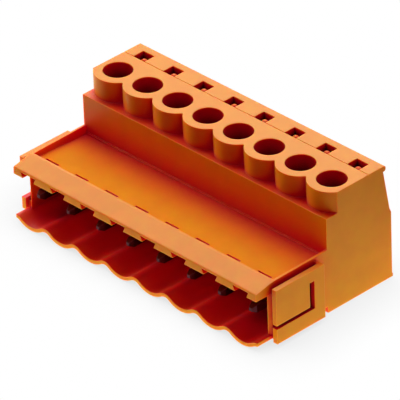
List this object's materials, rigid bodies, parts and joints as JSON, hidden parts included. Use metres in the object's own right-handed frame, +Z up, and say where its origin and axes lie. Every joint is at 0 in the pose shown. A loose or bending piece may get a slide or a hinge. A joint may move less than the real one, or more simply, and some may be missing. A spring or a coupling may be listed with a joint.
{
  "type": "pluggable terminal block",
  "caption": "Pluggable screw-clamp terminal block with a row of square pins in a scalloped shroud, latch plates at both ends and a coded lid",
  "frame": {"origin": "under the middle of the whole block, on the plane that it stands on", "axes": "+X along the row of poles, +Y towards the wire entries (the pins point to -Y), +Z up towards the screw heads"},
  "size_m": [0.0428, 0.0222, 0.0156],
  "materials": {
    "orange_plastic": "fine satin moulded polyamide",
    "tinned_contact": "tin-plated copper alloy",
    "plated_brass": "nickel-plated brass",
    "plated_steel": "zinc-plated steel"
  },
  "bodies": {
    "housing": {"housing": "orange_plastic", "contact_pin_1": "tinned_contact", "contact_pin_2": "tinned_contact", "contact_pin_3": "tinned_contact", "contact_pin_4": "tinned_contact", "contact_pin_5": "tinned_contact", "contact_pin_6": "tinned_contact", "contact_pin_7": "tinned_contact", "contact_pin_8": "tinned_contact"},
    "screw_1": {"clamp_screw_1": "plated_steel"},
    "yoke_1": {"clamping_yoke_1": "plated_brass"},
    "screw_2": {"clamp_screw_2": "plated_steel"},
    "yoke_2": {"clamping_yoke_2": "plated_brass"},
    "screw_3": {"clamp_screw_3": "plated_steel"},
    "yoke_3": {"clamping_yoke_3": "plated_brass"},
    "screw_4": {"clamp_screw_4": "plated_steel"},
    "yoke_4": {"clamping_yoke_4": "plated_brass"},
    "screw_5": {"clamp_screw_5": "plated_steel"},
    "yoke_5": {"clamping_yoke_5": "plated_brass"},
    "screw_6": {"clamp_screw_6": "plated_steel"},
    "yoke_6": {"clamping_yoke_6": "plated_brass"},
    "screw_7": {"clamp_screw_7": "plated_steel"},
    "yoke_7": {"clamping_yoke_7": "plated_brass"},
    "screw_8": {"clamp_screw_8": "plated_steel"},
    "yoke_8": {"clamping_yoke_8": "plated_brass"}
  },
  "joints": [
    {"name": "screw_1_turn", "type": "hinge", "parent": "housing", "child": "screw_1", "pos_m": [-0.01778, 0.00397, 0.0093], "axis": [0, 0, -1], "range_deg": [0, 1476]},
    {"name": "yoke_1_lift", "type": "slide", "parent": "housing", "child": "yoke_1", "axis": [0, 0, 1], "range_m": [0, 0.00205]},
    {"name": "screw_2_turn", "type": "hinge", "parent": "housing", "child": "screw_2", "pos_m": [-0.0127, 0.00397, 0.0093], "axis": [0, 0, -1], "range_deg": [0, 1476]},
    {"name": "yoke_2_lift", "type": "slide", "parent": "housing", "child": "yoke_2", "axis": [0, 0, 1], "range_m": [0, 0.00205]},
    {"name": "screw_3_turn", "type": "hinge", "parent": "housing", "child": "screw_3", "pos_m": [-0.00762, 0.00397, 0.0093], "axis": [0, 0, -1], "range_deg": [0, 1476]},
    {"name": "yoke_3_lift", "type": "slide", "parent": "housing", "child": "yoke_3", "axis": [0, 0, 1], "range_m": [0, 0.00205]},
    {"name": "screw_4_turn", "type": "hinge", "parent": "housing", "child": "screw_4", "pos_m": [-0.00254, 0.00397, 0.0093], "axis": [0, 0, -1], "range_deg": [0, 1476]},
    {"name": "yoke_4_lift", "type": "slide", "parent": "housing", "child": "yoke_4", "axis": [0, 0, 1], "range_m": [0, 0.00205]},
    {"name": "screw_5_turn", "type": "hinge", "parent": "housing", "child": "screw_5", "pos_m": [0.00254, 0.00397, 0.0093], "axis": [0, 0, -1], "range_deg": [0, 1476]},
    {"name": "yoke_5_lift", "type": "slide", "parent": "housing", "child": "yoke_5", "axis": [0, 0, 1], "range_m": [0, 0.00205]},
    {"name": "screw_6_turn", "type": "hinge", "parent": "housing", "child": "screw_6", "pos_m": [0.00762, 0.00397, 0.0093], "axis": [0, 0, -1], "range_deg": [0, 1476]},
    {"name": "yoke_6_lift", "type": "slide", "parent": "housing", "child": "yoke_6", "axis": [0, 0, 1], "range_m": [0, 0.00205]},
    {"name": "screw_7_turn", "type": "hinge", "parent": "housing", "child": "screw_7", "pos_m": [0.0127, 0.00397, 0.0093], "axis": [0, 0, -1], "range_deg": [0, 1476]},
    {"name": "yoke_7_lift", "type": "slide", "parent": "housing", "child": "yoke_7", "axis": [0, 0, 1], "range_m": [0, 0.00205]},
    {"name": "screw_8_turn", "type": "hinge", "parent": "housing", "child": "screw_8", "pos_m": [0.01778, 0.00397, 0.0093], "axis": [0, 0, -1], "range_deg": [0, 1476]},
    {"name": "yoke_8_lift", "type": "slide", "parent": "housing", "child": "yoke_8", "axis": [0, 0, 1], "range_m": [0, 0.00205]}
  ],
  "couplings": [
    {"joint": "screw_1_turn", "follows": "yoke_1_lift", "rad_per_m": 12566},
    {"joint": "screw_2_turn", "follows": "yoke_2_lift", "rad_per_m": 12566},
    {"joint": "screw_3_turn", "follows": "yoke_3_lift", "rad_per_m": 12566},
    {"joint": "screw_4_turn", "follows": "yoke_4_lift", "rad_per_m": 12566},
    {"joint": "screw_5_turn", "follows": "yoke_5_lift", "rad_per_m": 12566},
    {"joint": "screw_6_turn", "follows": "yoke_6_lift", "rad_per_m": 12566},
    {"joint": "screw_7_turn", "follows": "yoke_7_lift", "rad_per_m": 12566},
    {"joint": "screw_8_turn", "follows": "yoke_8_lift", "rad_per_m": 12566}
  ]
}
